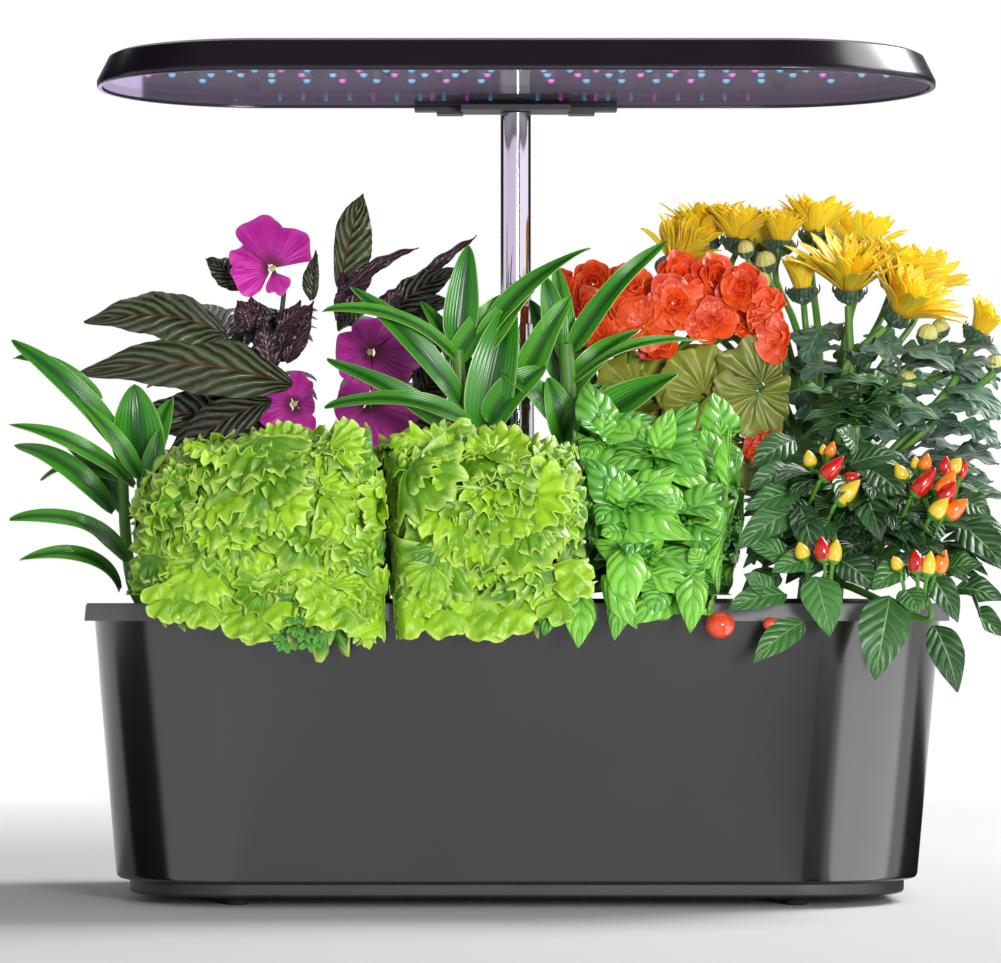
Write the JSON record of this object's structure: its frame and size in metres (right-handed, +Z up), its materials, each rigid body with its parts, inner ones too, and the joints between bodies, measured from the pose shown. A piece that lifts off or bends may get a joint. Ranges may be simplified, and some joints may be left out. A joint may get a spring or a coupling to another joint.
{
  "type": "countertop hydroponic garden",
  "caption": "Countertop water garden: tapered tank, lift-off planting deck with pod baskets and plants, telescopic pole and a long oval grow lamp with coloured LEDs.",
  "frame": {"origin": "on the worktop, under the middle of the garden", "axes": "+Z up, -Y towards the front with the buttons, +X to the right seen from the front"},
  "size_m": [0.4507, 0.2915, 0.3966],
  "materials": {
    "tank_plastic": "satin moulded",
    "deck_plastic": "satin moulded",
    "black_plastic": "satin moulded",
    "foot_rubber": "matt",
    "circuit_board": "solder mask",
    "clear_plastic": "clear, polished",
    "float_plastic": "gloss",
    "pole_chrome": "polished",
    "lamp_plastic": "satin painted",
    "basket_plastic": "moulded",
    "sponge_foam": "open foam",
    "lettuce_leaf": "leaf",
    "basil_leaf": "leaf",
    "pepper_leaf": "leaf",
    "strap_leaf": "leaf",
    "tomato_leaf": "leaf",
    "impatiens_leaf": "leaf",
    "impatiens_flower": "petal",
    "begonia_flower": "petal",
    "chrysanthemum_flower": "petal"
  },
  "bodies": {
    "reservoir": {"tank": "tank_plastic", "base_plinth": "black_plastic", "foot_front_left": "foot_rubber", "foot_front_right": "foot_rubber", "foot_rear_left": "foot_rubber", "foot_rear_right": "foot_rubber"},
    "planting_deck": {"deck": "deck_plastic", "control_panel": "black_plastic", "control_board": "circuit_board", "lid_pin": "deck_plastic", "power_inlet": "black_plastic", "pump_housing": "black_plastic", "pump_strainer": "black_plastic", "riser_tube": "clear_plastic", "pole_socket": "black_plastic", "outer_pole": "pole_chrome"},
    "pod_lettuce_left": {"basket_lettuce_left": "basket_plastic", "sponge_lettuce_left": "sponge_foam", "plant_lettuce_left": "lettuce_leaf"},
    "pod_lettuce_right": {"basket_lettuce_right": "basket_plastic", "sponge_lettuce_right": "sponge_foam", "plant_lettuce_right": "lettuce_leaf"},
    "pod_basil": {"basket_basil": "basket_plastic", "sponge_basil": "sponge_foam", "plant_basil": "basil_leaf"},
    "pod_pepper": {"basket_pepper": "basket_plastic", "sponge_pepper": "sponge_foam", "plant_pepper": "pepper_leaf"},
    "pod_bamboo": {"basket_bamboo": "basket_plastic", "sponge_bamboo": "sponge_foam", "plant_bamboo": "strap_leaf"},
    "pod_dracaena": {"basket_dracaena": "basket_plastic", "sponge_dracaena": "sponge_foam", "plant_dracaena": "strap_leaf"},
    "pod_tomato": {"basket_tomato": "basket_plastic", "sponge_tomato": "sponge_foam", "plant_tomato": "tomato_leaf"},
    "pod_impatiens_left": {"basket_impatiens_left": "basket_plastic", "sponge_impatiens_left": "sponge_foam", "plant_impatiens_left": "impatiens_leaf"},
    "pod_impatiens_right": {"basket_impatiens_right": "basket_plastic", "sponge_impatiens_right": "sponge_foam", "plant_impatiens_right": "impatiens_flower"},
    "pod_begonia": {"basket_begonia": "basket_plastic", "sponge_begonia": "sponge_foam", "plant_begonia": "begonia_flower"},
    "pod_chrysanthemum": {"basket_chrysanthemum": "basket_plastic", "sponge_chrysanthemum": "sponge_foam", "plant_chrysanthemum": "chrysanthemum_flower"},
    "lamp": {"inner_pole": "pole_chrome", "lamp_mount": "black_plastic", "lamp_housing": "lamp_plastic", "led_board": "circuit_board", "clear_cover": "clear_plastic"},
    "lid": {"filler_lid": "deck_plastic"},
    "light_button": {"button_light": "deck_plastic"},
    "pump_button": {"button_pump": "deck_plastic"},
    "water_float": {"float": "float_plastic"},
    "impeller": {"pump_impeller": "deck_plastic"}
  },
  "joints": [
    {"name": "deck_lift", "type": "slide", "parent": "reservoir", "child": "planting_deck", "axis": [0, 0, 1], "range_m": [0, 0.12]},
    {"name": "pod_lettuce_left_lift", "type": "slide", "parent": "planting_deck", "child": "pod_lettuce_left", "axis": [0, 0, 1], "range_m": [0, 0.06]},
    {"name": "pod_lettuce_right_lift", "type": "slide", "parent": "planting_deck", "child": "pod_lettuce_right", "axis": [0, 0, 1], "range_m": [0, 0.06]},
    {"name": "pod_basil_lift", "type": "slide", "parent": "planting_deck", "child": "pod_basil", "axis": [0, 0, 1], "range_m": [0, 0.06]},
    {"name": "pod_pepper_lift", "type": "slide", "parent": "planting_deck", "child": "pod_pepper", "axis": [0, 0, 1], "range_m": [0, 0.06]},
    {"name": "pod_bamboo_lift", "type": "slide", "parent": "planting_deck", "child": "pod_bamboo", "axis": [0, 0, 1], "range_m": [0, 0.06]},
    {"name": "pod_dracaena_lift", "type": "slide", "parent": "planting_deck", "child": "pod_dracaena", "axis": [0, 0, 1], "range_m": [0, 0.06]},
    {"name": "pod_tomato_lift", "type": "slide", "parent": "planting_deck", "child": "pod_tomato", "axis": [0, 0, 1], "range_m": [0, 0.06]},
    {"name": "pod_impatiens_left_lift", "type": "slide", "parent": "planting_deck", "child": "pod_impatiens_left", "axis": [0, 0, 1], "range_m": [0, 0.042]},
    {"name": "pod_impatiens_right_lift", "type": "slide", "parent": "planting_deck", "child": "pod_impatiens_right", "axis": [0, 0, 1], "range_m": [0, 0.042]},
    {"name": "pod_begonia_lift", "type": "slide", "parent": "planting_deck", "child": "pod_begonia", "axis": [0, 0, 1], "range_m": [0, 0.042]},
    {"name": "pod_chrysanthemum_lift", "type": "slide", "parent": "planting_deck", "child": "pod_chrysanthemum", "axis": [0, 0, 1], "range_m": [0, 0.042]},
    {"name": "lamp_height", "type": "slide", "parent": "planting_deck", "child": "lamp", "axis": [0, 0, 1], "range_m": [-0.03, 0.06]},
    {"name": "lid_hinge", "type": "hinge", "parent": "planting_deck", "child": "lid", "pos_m": [0.084, 0.114, 0.1387], "axis": [-1, 0, 0], "range_deg": [0, 100]},
    {"name": "light_press", "type": "slide", "parent": "planting_deck", "child": "light_button", "axis": [0, 0, 1], "range_m": [-0.001, 0], "stiffness_N_per_m": 1500},
    {"name": "pump_press", "type": "slide", "parent": "planting_deck", "child": "pump_button", "axis": [0, 0, 1], "range_m": [-0.001, 0], "stiffness_N_per_m": 1500},
    {"name": "float_rise", "type": "slide", "parent": "planting_deck", "child": "water_float", "axis": [0, 0, 1], "range_m": [0, 0.03]},
    {"name": "impeller_spin", "type": "hinge", "parent": "planting_deck", "child": "impeller", "pos_m": [0.07, -0.004, 0.03], "axis": [0, 0, 1], "continuous": true}
  ]
}
